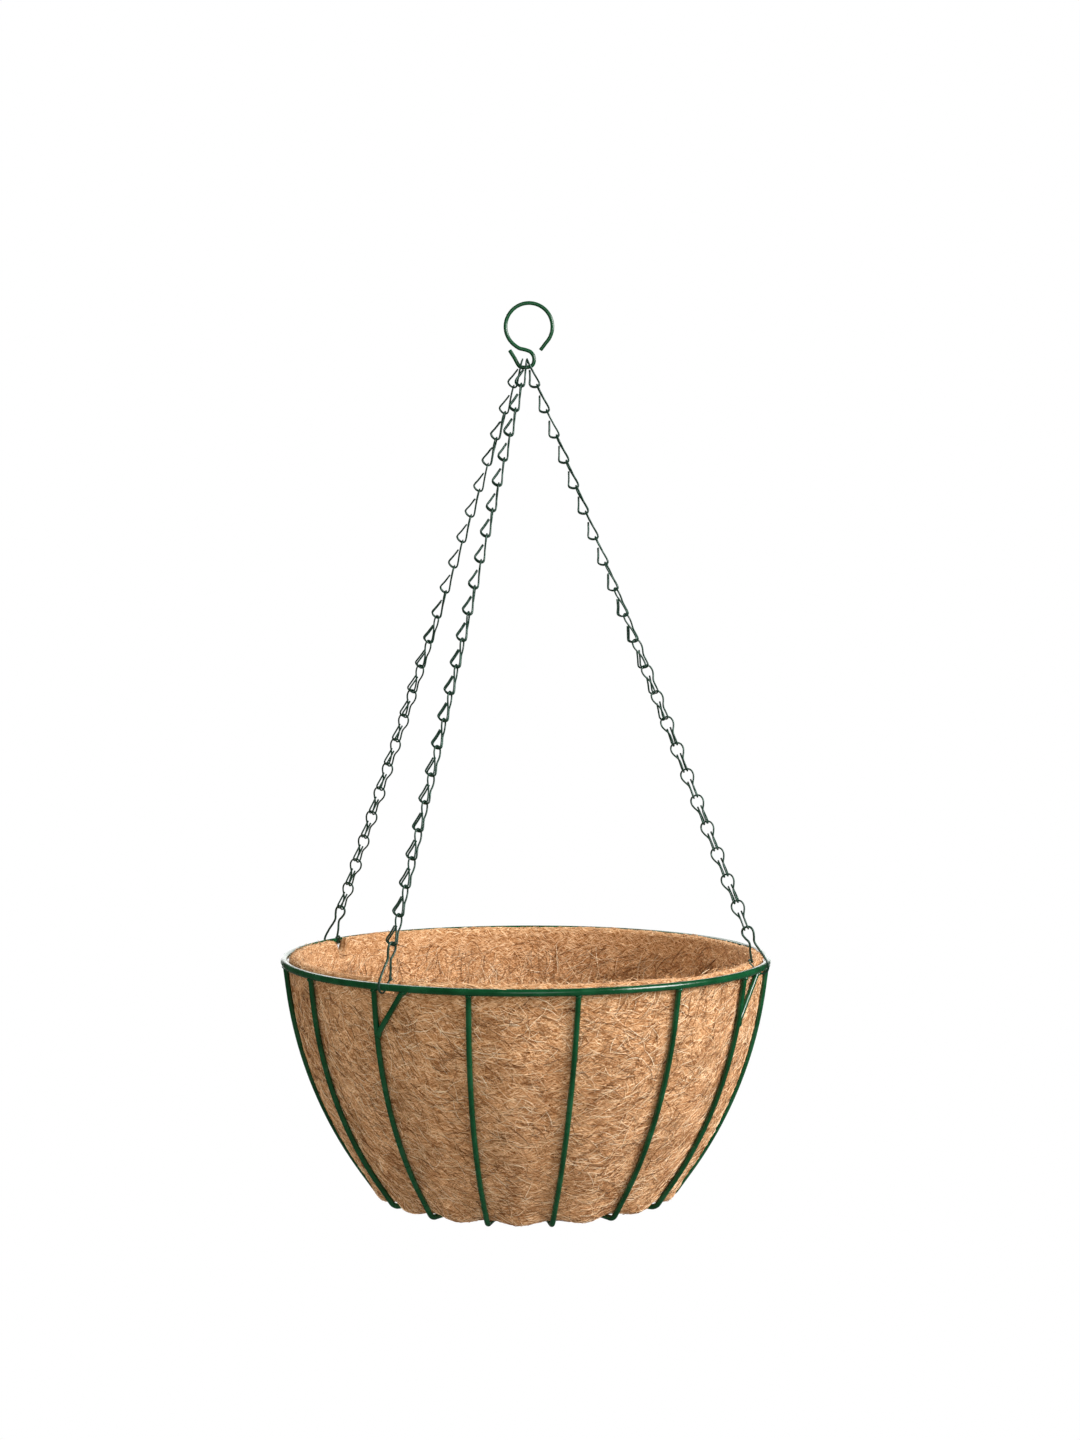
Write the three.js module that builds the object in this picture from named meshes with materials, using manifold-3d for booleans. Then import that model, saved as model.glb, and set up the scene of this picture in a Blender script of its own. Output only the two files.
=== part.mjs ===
// Hanging basket: a wire bowl with a felt liner, hung by three jack chains from one hook.
// Millimetres, +Z up. The origin is the inner top of the hook's ring, where the basket is hung.
import * as THREE from 'three';
import { mergeVertices } from 'three/addons/utils/BufferGeometryUtils.js';
import Module from 'manifold-3d';

const wasm = await Module();
wasm.setup();

// Driving dimensions
const GAP = 0.3;                // clearance kept between pieces that touch
const HANG_HEIGHT = 422;        // from the rim's plane up to the wire that the chains hang on
const RIM_RADIUS = 172.5;       // wire centre: the basket is 350 mm, or 14 inches, across
const RIM_WIRE = 5;
const RIB_WIRE = 3.8;
const RIB_TOP_RADIUS = 172;
const RIB_TOP_SLOPE = radians(7.5);
const RIB_STRAIGHT = 18;        // length of the rib's straight top
const RIB_ARC_RADIUS = 295;
const RIB_LOW_SLOPE = radians(35.5);
const RIB_BEND_RADIUS = 7;
const FOOT_DEPTH = 166.5;       // from the rim's plane down to the feet's wire centre
const BASE_RING_RADIUS = 88;
const LINER_WALL = 9;
const LINER_BASE = 8;
const LINER_TOP = 2.5;          // above the rim's plane
const NOTCH_WIDTH = 12;
const NOTCH_DEPTH = 13;
const HOOK_WIRE = 2.8;
const RING_RADIUS = 16.7;       // the hook's ring, wire centre
const RING_CENTRE = [2.1, 28.7];  // across and above the wire that the chains hang on
const RING_START = radians(235);
const RING_END = radians(-32);
const RING_TAIL = [8.4, -16.4];   // the ring's straight free end, from its centre
const CLIP_WIRE = 1.4;
const CLIP_TOP = [161, 27.5];   // radius and height of the clip's top wire
const CHAIN_WIRE = 1.5;
const LINKS = 22;
const LINK_HALF_WIDTH = 4.3;    // of a link's pear loop, wire centre
const LEG_SPACING = 2.7;        // between the two legs of a link
const HOOK_REACH = 4.7;         // how far a leg's hooked end stands out
const CROSSING_JOINED = 0.9;    // between wire centres, where two links make one node
const CROSSING_FREE = 2.1;      // between wire centres, where two nodes meet
const PIVOT_GAP = 0.9;          // room at the hook for a chain that bows
const TWIST_FROM = 0.3;         // share of the chain below its top where the twist starts and ends
const TWIST_TO = 0.8;

const RIB_ANGLES = [-168, -148, -127, -104, -80.5, -57.5, -35, -12, 11.7, 36, 60, 83, 104, 126, 148, 170];
const FOOT_TURN = -1.8;         // degrees that a rib's foot is turned round the basket from its top
// Each chain has a clip on the rim, a brace beside it, the rib that the brace joins, a place along
// the hook's wire, and a twist from its top to its bottom. Angles start at the front, + to the right.
const CHAINS = [
  { name: 'back_left', clip: -120, brace: -117, rib: -127, onHook: -4.3, twist: 70 },
  { name: 'front_left', clip: -32.3, brace: -27.2, rib: -35, onHook: -0.4, twist: -26 },
  { name: 'right', clip: 71.5, brace: 68.2, rib: 60, onHook: 2.9, twist: -98 },
];
const BRACE_SLOPE = radians(35);

// How finely the round shapes are cut into flats
const WIRE_SIDES = 6;
const CHAIN_SIDES = 4;
const HOOK_SIDES = 8;
const RIM_SIDES = 8;
const RIM_STEPS = 64;
const BASE_RING_STEPS = 32;
const HOOK_STEPS = 24;
const ARC_STEPS = 6;
const BEND_STEPS = 3;
const LINER_STEPS = 48;
const MERGE_DISTANCE = 1e-4;

const coated = new THREE.MeshStandardMaterial({ color: 0x0a4a30, roughness: 0.35, metalness: 0.1 });
const chainFinish = new THREE.MeshStandardMaterial({ color: 0x2f4a3f, roughness: 0.4, metalness: 0.5 });
const coir = new THREE.MeshStandardMaterial({ color: 0xb98a63, roughness: 1, metalness: 0 });

const hookContact = new THREE.Vector3(
  -RING_CENTRE[0], 0, -(RING_CENTRE[1] + RING_RADIUS - HOOK_WIRE / 2),
);
const rimCentre = new THREE.Vector3(hookContact.x, 0, hookContact.z - HANG_HEIGHT);

const hangingBasket = new THREE.Group();
const basket = new THREE.Group();
basket.position.copy(rimCentre);
hangingBasket.add(basket);

function radians(degrees) {
  return degrees * Math.PI / 180;
}

/** A point at an angle round the basket, at a radius and a height over the rim's plane. */
function around(degrees, radius, height) {
  const angle = radians(degrees);
  return new THREE.Vector3(radius * Math.sin(angle), -radius * Math.cos(angle), height);
}

/** A point of a rib whose top is at an angle: the rib turns a little round the basket on its way down. */
function onRib(top, radius, height) {
  return around(top - FOOT_TURN * height / FOOT_DEPTH, radius, height);
}

/** A path that passes straight from point to point, with one extrusion step for each stretch. */
class WirePath extends THREE.Curve {
  constructor(points) {
    super();
    this.points = points;
    this.steps = points.length - 1;
  }

  getPoint(t) {
    const place = THREE.MathUtils.clamp(t, 0, 1) * this.steps;
    const index = Math.min(Math.floor(place), this.steps - 1);
    return this.points[index].clone().lerp(this.points[index + 1], place - index);
  }

  getUtoTmapping(u) {
    return u;
  }
}

function wireGeometry(points, diameter, sides) {
  const section = new THREE.Shape();
  for (let side = 0; side < sides; side += 1) {
    const angle = 2 * Math.PI * side / sides;
    const x = diameter / 2 * Math.cos(angle);
    const y = diameter / 2 * Math.sin(angle);
    if (side === 0) section.moveTo(x, y);
    else section.lineTo(x, y);
  }
  section.closePath();
  const path = new WirePath(points);
  return new THREE.ExtrudeGeometry(section, { steps: path.steps, extrudePath: path });
}

function addMesh(parent, name, geometry, material) {
  const mesh = new THREE.Mesh(geometry, material);
  mesh.name = name;
  parent.add(mesh);
}

function toSolid(geometry) {
  const bare = geometry.clone();
  bare.deleteAttribute('normal');
  bare.deleteAttribute('uv');
  const merged = mergeVertices(bare, MERGE_DISTANCE);
  return new wasm.Manifold(new wasm.Mesh({
    numProp: 3,
    vertProperties: new Float32Array(merged.attributes.position.array),
    triVerts: new Uint32Array(merged.index.array),
  }));
}

function toGeometry(solid) {
  const mesh = solid.getMesh();
  const geometry = new THREE.BufferGeometry();
  geometry.setAttribute('position', new THREE.BufferAttribute(mesh.vertProperties, 3));
  geometry.setIndex(new THREE.BufferAttribute(mesh.triVerts, 1));
  geometry.computeVertexNormals();
  return geometry;
}

// The rib's side view, as radius and height: straight, a long arc, a bend and a foot
const arcStart = {
  radius: RIB_TOP_RADIUS - RIB_STRAIGHT * Math.sin(RIB_TOP_SLOPE),
  height: -RIB_STRAIGHT * Math.cos(RIB_TOP_SLOPE),
};

/** The rib's centre line at a slope from the vertical, on its long arc. */
function onArc(slope) {
  return {
    radius: arcStart.radius - RIB_ARC_RADIUS * (Math.cos(RIB_TOP_SLOPE) - Math.cos(slope)),
    height: arcStart.height - RIB_ARC_RADIUS * (Math.sin(slope) - Math.sin(RIB_TOP_SLOPE)),
  };
}

/** The rib's radius at a height, as far down as the end of its long arc. */
function ribRadius(height) {
  if (height > arcStart.height) return RIB_TOP_RADIUS + height * Math.tan(RIB_TOP_SLOPE);
  const sine = Math.sin(RIB_TOP_SLOPE) + (arcStart.height - height) / RIB_ARC_RADIUS;
  return onArc(Math.asin(sine)).radius;
}

/** Points along the long arc, moved inward by an offset. */
function arcPoints(inward) {
  const points = [];
  for (let step = 0; step <= ARC_STEPS; step += 1) {
    const slope = RIB_TOP_SLOPE + (RIB_LOW_SLOPE - RIB_TOP_SLOPE) * step / ARC_STEPS;
    const { radius, height } = onArc(slope);
    points.push([radius - inward * Math.cos(slope), height + inward * Math.sin(slope)]);
  }
  return points;
}

function ribProfile() {
  const topHeight = -(RIM_WIRE / 2 + GAP);
  const profile = [[ribRadius(topHeight), topHeight], ...arcPoints(0)];
  const [endRadius, endHeight] = profile.at(-1);
  const turned = Math.PI / 2 - RIB_LOW_SLOPE;
  const bendDrop = RIB_BEND_RADIUS * (1 - Math.sin(RIB_LOW_SLOPE));
  const straightDrop = endHeight + FOOT_DEPTH - bendDrop;
  const bendStart = [endRadius - straightDrop * Math.tan(RIB_LOW_SLOPE), endHeight - straightDrop];
  const centre = [
    bendStart[0] - RIB_BEND_RADIUS * Math.cos(RIB_LOW_SLOPE),
    bendStart[1] + RIB_BEND_RADIUS * Math.sin(RIB_LOW_SLOPE),
  ];
  for (let step = 0; step <= BEND_STEPS; step += 1) {
    const angle = -RIB_LOW_SLOPE - turned * step / BEND_STEPS;
    profile.push([
      centre[0] + RIB_BEND_RADIUS * Math.cos(angle),
      centre[1] + RIB_BEND_RADIUS * Math.sin(angle),
    ]);
  }
  profile.push([BASE_RING_RADIUS + RIB_WIRE / 2 + 2 * GAP, -FOOT_DEPTH]);
  return profile;
}

function addFrame() {
  addMesh(basket, 'rim', new THREE.TorusGeometry(RIM_RADIUS, RIM_WIRE / 2, RIM_SIDES, RIM_STEPS), coated);
  const profile = ribProfile();
  RIB_ANGLES.forEach((angle, index) => {
    const points = profile.map(([radius, height]) => onRib(angle, radius, height));
    const name = `rib_${String(index + 1).padStart(2, '0')}`;
    addMesh(basket, name, wireGeometry(points, RIB_WIRE, WIRE_SIDES), coated);
  });
  const ring = new THREE.TorusGeometry(BASE_RING_RADIUS, RIB_WIRE / 2, WIRE_SIDES, BASE_RING_STEPS);
  ring.translate(0, 0, -FOOT_DEPTH);
  addMesh(basket, 'base_ring', ring, coated);
}

/** A straight strut from the rim beside a clip down to the neighbouring rib. */
function addBrace({ name, brace, rib }) {
  const capRise = RIB_WIRE / 2 * Math.sin(BRACE_SLOPE);
  const top = around(brace, RIB_TOP_RADIUS, -(RIM_WIRE / 2 + capRise + GAP));
  const across = Math.abs(radians(brace - rib)) * RIB_TOP_RADIUS;
  const jointHeight = -across / Math.tan(BRACE_SLOPE);
  const joint = onRib(rib, ribRadius(jointHeight), jointHeight);
  const standOff = (RIB_WIRE + GAP) / Math.sin(BRACE_SLOPE);
  const end = joint.clone().add(top.clone().sub(joint).setLength(standOff));
  addMesh(basket, `brace_${name}`, wireGeometry([top, end], RIB_WIRE, WIRE_SIDES), coated);
}

function addLiner() {
  const inward = RIB_WIRE / 2 + 3 * GAP;
  const outer = arcPoints(inward);
  const inner = arcPoints(inward + LINER_WALL);
  const underside = -FOOT_DEPTH + RIB_WIRE / 2 + GAP;
  const topOuter = RIM_RADIUS - RIM_WIRE / 2 - 5 * GAP;
  const profile = [
    [0, underside],
    [outer.at(-1)[0] - 17, underside],
    [outer.at(-1)[0] - 9.5, underside + 3.6],
    ...outer.reverse(),
    [topOuter, -6],
    [topOuter, LINER_TOP],
    [topOuter - LINER_WALL, LINER_TOP],
    ...inner.slice(0, -1),
    [inner.at(-1)[0] - 2, underside + LINER_BASE + 4],
    [inner.at(-1)[0] - 8, underside + LINER_BASE],
    [0, underside + LINER_BASE],
  ].map(([radius, height]) => new THREE.Vector2(radius, height));
  let solid = toSolid(new THREE.LatheGeometry(profile, LINER_STEPS).rotateX(Math.PI / 2));
  for (const { clip } of CHAINS) {
    const notch = new THREE.BoxGeometry(NOTCH_WIDTH, 4 * LINER_WALL, NOTCH_DEPTH);
    notch.translate(0, -RIM_RADIUS, LINER_TOP + GAP - NOTCH_DEPTH / 2);
    notch.rotateZ(radians(clip));
    solid = solid.subtract(toSolid(notch));
  }
  addMesh(basket, 'coir_liner', toGeometry(solid), coir);
}

/** A safety-pin clip: a pear loop for the chain, and two legs, one of which hooks round the rim. */
function addClip({ name, clip }) {
  const [topRadius, topHeight] = CLIP_TOP;
  const length = Math.hypot(RIM_RADIUS - topRadius, topHeight);
  const lean = Math.atan2(RIM_RADIUS - topRadius, topHeight);
  const outline = [
    [-6.4, -1.2], [-1.2, 0.62 * length], [-3.9, 0.84 * length], [-3.2, 0.96 * length],
    [-1.5, length], [1.5, length], [3.2, 0.96 * length], [3.9, 0.84 * length],
    [1.2, 0.62 * length], [4.6, 2.2], [4.0, -2.4], [1.8, -4.2], [-1.4, -4.2],
    [-3.8, -2.2], [-4.2, 2.4],
  ];
  const points = outline.map(([out, up]) => around(
    clip,
    RIM_RADIUS + out * Math.cos(lean) - up * Math.sin(lean),
    out * Math.sin(lean) + up * Math.cos(lean),
  ));
  addMesh(basket, `rim_clip_${name}`, wireGeometry(points, CLIP_WIRE, WIRE_SIDES), chainFinish);
}

/** One link: a pear loop above, whose two legs run down side by side and hook back up below it. */
function linkGeometry(half) {
  const leg = LEG_SPACING / 2;
  const wide = LINK_HALF_WIDTH;
  const reach = HOOK_REACH;
  const right = [
    [leg, 0.32 * reach, 0.2 * half], [leg, reach, -0.7 * half], [leg, 0.77 * reach, -0.87 * half],
    [leg, 1, -half], [leg, -1.1, -half], [leg, -2.1, -0.86 * half], [leg, -1, -0.15 * half],
    [0.85 * wide, -0.4, 0.35 * half], [wide, -0.2, 0.62 * half], [0.8 * wide, 0, 0.86 * half],
    [1.5, 0, half],
  ];
  const left = right.map(([across, out, up]) => [-across, out, up]).reverse();
  const points = [...right, ...left].map((place) => new THREE.Vector3(...place));
  return wireGeometry(points, CHAIN_WIRE, CHAIN_SIDES);
}

function addChain({ name, clip, onHook, twist }) {
  const low = around(clip, ...CLIP_TOP).add(rimCentre);
  const high = hookContact.clone().add(new THREE.Vector3(onHook, 0, 0));
  const along = high.clone().sub(low).normalize();
  const first = -((CLIP_WIRE + CHAIN_WIRE) / 2 + GAP);
  const last = low.distanceTo(high) + (HOOK_WIRE + CHAIN_WIRE) / 2 + PIVOT_GAP;
  const pairs = LINKS / 2;
  const crossings = pairs * CROSSING_JOINED + (pairs - 1) * CROSSING_FREE;
  const linkLength = (last - first + crossings) / LINKS;
  const loop = linkGeometry(linkLength / 2);
  // At no twist, a link's upper loop stands in the plane that runs from front to back.
  const back = new THREE.Vector3(0, 1, 0);
  back.addScaledVector(along, -back.dot(along)).normalize();
  const side = along.clone().cross(back);
  const upright = new THREE.Matrix4().makeBasis(back, side, along);
  let start = first;
  for (let pair = 0; pair < pairs; pair += 1) {
    let solid = null;
    for (let link = 2 * pair; link < 2 * pair + 2; link += 1) {
      const middle = start + linkLength / 2;
      const below = 1 - (link + 0.5) / LINKS;
      const turn = radians(twist) * THREE.MathUtils.smoothstep(below, TWIST_FROM, TWIST_TO);
      const placed = loop.clone().rotateZ(turn).applyMatrix4(upright);
      placed.translate(...low.clone().addScaledVector(along, middle).toArray());
      solid = solid ? solid.add(toSolid(placed)) : toSolid(placed);
      start += linkLength - (link % 2 === 0 ? CROSSING_JOINED : CROSSING_FREE);
    }
    const label = `chain_${name}_links_${String(pair + 1).padStart(2, '0')}`;
    addMesh(hangingBasket, label, toGeometry(solid), chainFinish);
  }
}

/** A flat open S of wire: a large ring to hang by, and a small hook below it for the chains. */
function addHook() {
  const outline = [
    [-11.4, 11.5], [-8, 6], [-5.6, 1.7], [-3.9, 0], [2.2, 0], [4.5, 1.2], [5.7, 4],
    [5.4, 7.6], [3.2, 10.7], [-0.9, 12.3], [-4.6, 13.2],
  ];
  for (let step = 0; step <= HOOK_STEPS; step += 1) {
    const angle = RING_START + (RING_END - RING_START) * step / HOOK_STEPS;
    outline.push([
      RING_CENTRE[0] + RING_RADIUS * Math.cos(angle),
      RING_CENTRE[1] + RING_RADIUS * Math.sin(angle),
    ]);
  }
  outline.push([RING_CENTRE[0] + RING_TAIL[0], RING_CENTRE[1] + RING_TAIL[1]]);
  const points = outline.map(([x, z]) => new THREE.Vector3(x, 0, z).add(hookContact));
  addMesh(hangingBasket, 'hook', wireGeometry(points, HOOK_WIRE, HOOK_SIDES), coated);
}

addHook();
addFrame();
CHAINS.forEach(addBrace);
addLiner();
CHAINS.forEach(addClip);
CHAINS.forEach(addChain);

export default hangingBasket;
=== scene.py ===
"""Looks of the hanging basket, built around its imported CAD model.

The wire bowl, the chains, the clips and the hook are bent from round wire, and the liner is a coir
felt with loose fibres over it. Metres, +Z up, with the origin at the inner top of the hook's ring.
"""

import math

import bpy
import numpy as np
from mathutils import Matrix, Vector, noise


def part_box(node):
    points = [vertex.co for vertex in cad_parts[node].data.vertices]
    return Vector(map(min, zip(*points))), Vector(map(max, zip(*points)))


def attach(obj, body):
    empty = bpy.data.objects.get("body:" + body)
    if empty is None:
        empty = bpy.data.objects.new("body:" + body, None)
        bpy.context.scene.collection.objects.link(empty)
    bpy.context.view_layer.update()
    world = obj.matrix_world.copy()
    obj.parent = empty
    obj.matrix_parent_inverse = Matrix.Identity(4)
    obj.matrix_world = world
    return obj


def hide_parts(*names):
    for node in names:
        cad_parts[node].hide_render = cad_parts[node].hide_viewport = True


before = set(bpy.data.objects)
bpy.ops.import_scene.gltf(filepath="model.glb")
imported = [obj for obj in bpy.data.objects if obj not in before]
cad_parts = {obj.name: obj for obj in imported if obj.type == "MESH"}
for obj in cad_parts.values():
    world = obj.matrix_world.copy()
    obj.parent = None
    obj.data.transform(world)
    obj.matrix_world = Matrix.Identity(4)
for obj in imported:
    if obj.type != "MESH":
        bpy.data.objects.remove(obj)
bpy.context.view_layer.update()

MM = 0.001

# The wire bowl, as the CAD model has it, in millimetres
RIM_WIRE = 5.0
RIB_WIRE = 3.8
RIB_TOP_RADIUS = 172.0
RIB_TOP_SLOPE = math.radians(7.5)
RIB_STRAIGHT = 18.0
RIB_ARC_RADIUS = 295.0
RIB_LOW_SLOPE = math.radians(35.5)
RIB_BEND_RADIUS = 7.0
FOOT_DEPTH = 166.5
BASE_RING_RADIUS = 88.0
BRACE_SLOPE = math.radians(35)
RIB_ANGLES = np.array([-168, -148, -127, -104, -80.5, -57.5, -35, -12, 11.7, 36, 60, 83, 104, 126, 148, 170])
FOOT_TURN = -1.8

# The hanger
LINKS = 22
CHAIN_WIRE = 1.25
CROSSING_GAP = 0.2   # between the wires of two links, where they cross
HOOK_GAP = 0.55      # room over the hook's wire for a chain that bows
CLIP_WIRE = 1.6
HOOK_WIRE = 2.8
CLIP_TOP = (161.0, 27.5)
RING_RADIUS = 16.7
RING_CENTRE = (2.1, 28.7)
RING_TAIL = (8.4, -16.4)
LINK_HALF_WIDTH = 4.3
LEG_SPACING = 2.6
HOOK_REACH = 4.7
LINKS_LOWER = 8
LINKS_MIDDLE = 6
CHAINS = [
    {"name": "back_left", "clip": -120.0, "brace": -117.0, "rib": -127.0, "on_hook": -4.3, "twist": 70.0},
    {"name": "front_left", "clip": -32.3, "brace": -27.2, "rib": -35.0, "on_hook": -0.4, "twist": -26.0},
    {"name": "right", "clip": 71.5, "brace": 68.2, "rib": 60.0, "on_hook": 2.9, "twist": -98.0},
]
TWIST_FROM, TWIST_TO = 0.3, 0.8
LINK_SWAY = 5.0

# The liner
LINER_WALL = 9.0
LINER_INSET = 2.5
LINER_TOP = 2.5
LINER_BASE = 8.0
NOTCH_HALF_WIDTH = 7.0
NOTCH_DEPTH = 9.5
LIE_RADIUS = 150.0   # turns an angle round the liner into a length for its streaks
LINER_ROWS = 212
LINER_COLUMNS = 456

# The loose fibres: how many for each quarter of the wall, or for the whole bottom, and their radii
FIBRES_OUTSIDE = 6600
FIBRES_INSIDE = 3600
FIBRES_UNDERSIDE = 2600
FIBRES_FLOOR = 2200
FIBRES_FRINGE = 2600
FIBRE_RADII = (0.12, 0.24)

rim_low, rim_high = (np.array(corner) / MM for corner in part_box("rim"))
CENTRE = (rim_low + rim_high) / 2
RIM_RADIUS = (rim_high[0] - rim_low[0] - RIM_WIRE) / 2
HOOK_CONTACT = np.array([-RING_CENTRE[0], 0.0, -(RING_CENTRE[1] + RING_RADIUS - HOOK_WIRE / 2)])
random = np.random.default_rng(14)

# Studio light from all round: what falls on the object, and what its gloss mirrors
AMBIENT = 0.95
AMBIENT_MIRRORED = 0.05


def around(degrees, radius, height):
    """A point at an angle from the basket's front, at a radius and a height over the rim's plane."""
    angle = np.radians(degrees)
    offset = [radius * np.sin(angle), -radius * np.cos(angle), height + 0 * angle]
    return CENTRE + np.stack(np.broadcast_arrays(*offset), axis=-1)


def on_rib(top, radius, height):
    """A point of a rib that leaves the rim at an angle and turns a little round the basket."""
    return around(top - FOOT_TURN * height / FOOT_DEPTH, radius, height)


# ---------------------------------------------------------------- wires

def smooth_path(points, per_stretch=6, closed=False):
    """A centripetal Catmull-Rom curve through the points."""
    points = np.asarray(points, float)
    if closed:
        points = np.vstack([points[-1], points, points[0], points[1]])
    else:
        points = np.vstack([2 * points[0] - points[1], points, 2 * points[-1] - points[-2]])
    found = []
    for first in range(len(points) - 3):
        p0, p1, p2, p3 = points[first:first + 4]
        t1 = np.linalg.norm(p1 - p0) ** 0.5
        t2 = t1 + np.linalg.norm(p2 - p1) ** 0.5
        t3 = t2 + np.linalg.norm(p3 - p2) ** 0.5
        for t in np.linspace(t1, t2, per_stretch, endpoint=False):
            a1 = (t1 - t) / t1 * p0 + t / t1 * p1
            a2 = (t2 - t) / (t2 - t1) * p1 + (t - t1) / (t2 - t1) * p2
            a3 = (t3 - t) / (t3 - t2) * p2 + (t - t2) / (t3 - t2) * p3
            b1 = (t2 - t) / t2 * a1 + t / t2 * a2
            b2 = (t3 - t) / (t3 - t1) * a2 + (t - t1) / (t3 - t1) * a3
            found.append((t2 - t) / (t2 - t1) * b1 + (t - t1) / (t2 - t1) * b2)
    if not closed:
        found.append(points[-2])
    return np.array(found)


def wire(points, diameter, sides=12, closed=False):
    """Vertices and faces of a round wire along the points, with slightly rounded cut ends."""
    points = np.asarray(points, float)
    ahead = np.roll(points, -1, 0) - points
    behind = points - np.roll(points, 1, 0)
    if not closed:
        ahead[-1] = behind[-1]
        behind[0] = ahead[0]
    unit = lambda v: v / np.linalg.norm(v, axis=-1, keepdims=True)
    tangents = unit(unit(ahead) + unit(behind))
    across = unit(np.cross(tangents[0], [0.31, 0.52, 0.79]))
    frames = []
    for tangent in tangents:
        across = unit(across - tangent * (across @ tangent))
        frames.append((across, np.cross(tangent, across)))
    rings = [(point, 1.0, across) for point, across in zip(points, frames)]
    if not closed:
        radius = diameter / 2
        for end, sign in ((0, -1), (-1, 1)):
            tips = [
                (points[end] + sign * tangents[end] * radius * out, size, frames[end])
                for out, size in ((0.22, 0.93), (0.38, 0.72), (0.42, 0.3))
            ]
            rings = tips[::-1] + rings if end == 0 else rings + tips
    turn = np.linspace(0, 2 * math.pi, sides, endpoint=False)
    vertices = np.vstack([
        centre + diameter / 2 * size * (np.cos(turn)[:, None] * u + np.sin(turn)[:, None] * v)
        for centre, size, (u, v) in rings
    ])
    count = len(rings)
    faces = []
    for ring in range(count if closed else count - 1):
        following = (ring + 1) % count
        shift = 0
        if closed and following == 0:
            start = vertices[:sides]
            shift = int(np.argmin(np.linalg.norm(start - vertices[ring * sides], axis=1)))
        for side in range(sides):
            next_side = (side + 1) % sides
            faces.append((
                ring * sides + side, ring * sides + next_side,
                following * sides + (next_side + shift) % sides,
                following * sides + (side + shift) % sides,
            ))
    if not closed:
        faces.append(tuple(range(sides))[::-1])
        faces.append(tuple((count - 1) * sides + side for side in range(sides)))
    return vertices, faces


def bead(centre, size):
    """A weld bead: a squashed lump with an uneven skin, sunk into the wires that it joins."""
    rows, columns = 10, 20
    vertices, faces = [], []
    for row in range(rows + 1):
        polar = math.pi * row / rows
        for column in range(columns):
            turn = 2 * math.pi * column / columns
            flat = math.sin(polar)
            way = Vector((flat * math.cos(turn), flat * math.sin(turn), math.cos(polar)))
            swell = 1 + 0.12 * noise.noise(way * 1.7 + Vector(centre) * 0.11)
            vertices.append(np.asarray(centre) + np.array(way) * size * swell)
    for row in range(rows):
        for column in range(columns):
            following = (column + 1) % columns
            faces.append((
                row * columns + column, (row + 1) * columns + column,
                (row + 1) * columns + following, row * columns + following,
            ))
    return np.array(vertices), faces


def make_piece(name, parts, material, body, nodes=()):
    """One piece from (vertices, faces) parts in millimetres, riding on a body."""
    vertices, faces = [], []
    for part_vertices, part_faces in parts:
        base = len(vertices)
        vertices.extend((np.asarray(part_vertices) * MM).tolist())
        faces.extend([tuple(base + index for index in face) for face in part_faces])
    mesh = bpy.data.meshes.new(name)
    mesh.from_pydata(vertices, [], faces)
    mesh.validate()
    mesh.shade_smooth()
    mesh.materials.append(material)
    piece = bpy.data.objects.new(name, mesh)
    bpy.context.scene.collection.objects.link(piece)
    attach(piece, body)
    if nodes:
        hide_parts(*nodes)
    return piece


# ---------------------------------------------------------------- materials

def new_material(name):
    material = bpy.data.materials.new(name)
    material.use_nodes = True
    nodes = material.node_tree.nodes
    return material, nodes, material.node_tree.links, nodes["Principled BSDF"]


def add_noise(nodes, links, vector, scale, detail=4.0, roughness=0.55):
    texture = nodes.new("ShaderNodeTexNoise")
    texture.inputs["Scale"].default_value = scale
    texture.inputs["Detail"].default_value = detail
    texture.inputs["Roughness"].default_value = roughness
    links.new(vector, texture.inputs["Vector"])
    return texture.outputs["Fac"]


def add_ramp(nodes, links, factor, stops):
    ramp = nodes.new("ShaderNodeValToRGB")
    elements = ramp.color_ramp.elements
    while len(elements) < len(stops):
        elements.new(0.5)
    for element, (place, colour) in zip(elements, stops):
        element.position = place
        element.color = (*colour, 1.0)
    links.new(factor, ramp.inputs["Fac"])
    return ramp.outputs["Color"]


def add_range(nodes, links, value, low, high, from_low=0.0, from_high=1.0):
    mapped = nodes.new("ShaderNodeMapRange")
    mapped.inputs["From Min"].default_value = from_low
    mapped.inputs["From Max"].default_value = from_high
    mapped.inputs["To Min"].default_value = low
    mapped.inputs["To Max"].default_value = high
    links.new(value, mapped.inputs["Value"])
    return mapped.outputs["Result"]


def add_bump(nodes, links, height, strength, distance, shader, after=None):
    bump = nodes.new("ShaderNodeBump")
    bump.inputs["Strength"].default_value = strength
    bump.inputs["Distance"].default_value = distance
    links.new(height, bump.inputs["Height"])
    if after is not None:
        links.new(after, bump.inputs["Normal"])
    links.new(bump.outputs["Normal"], shader.inputs["Normal"])
    return bump.outputs["Normal"]


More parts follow.
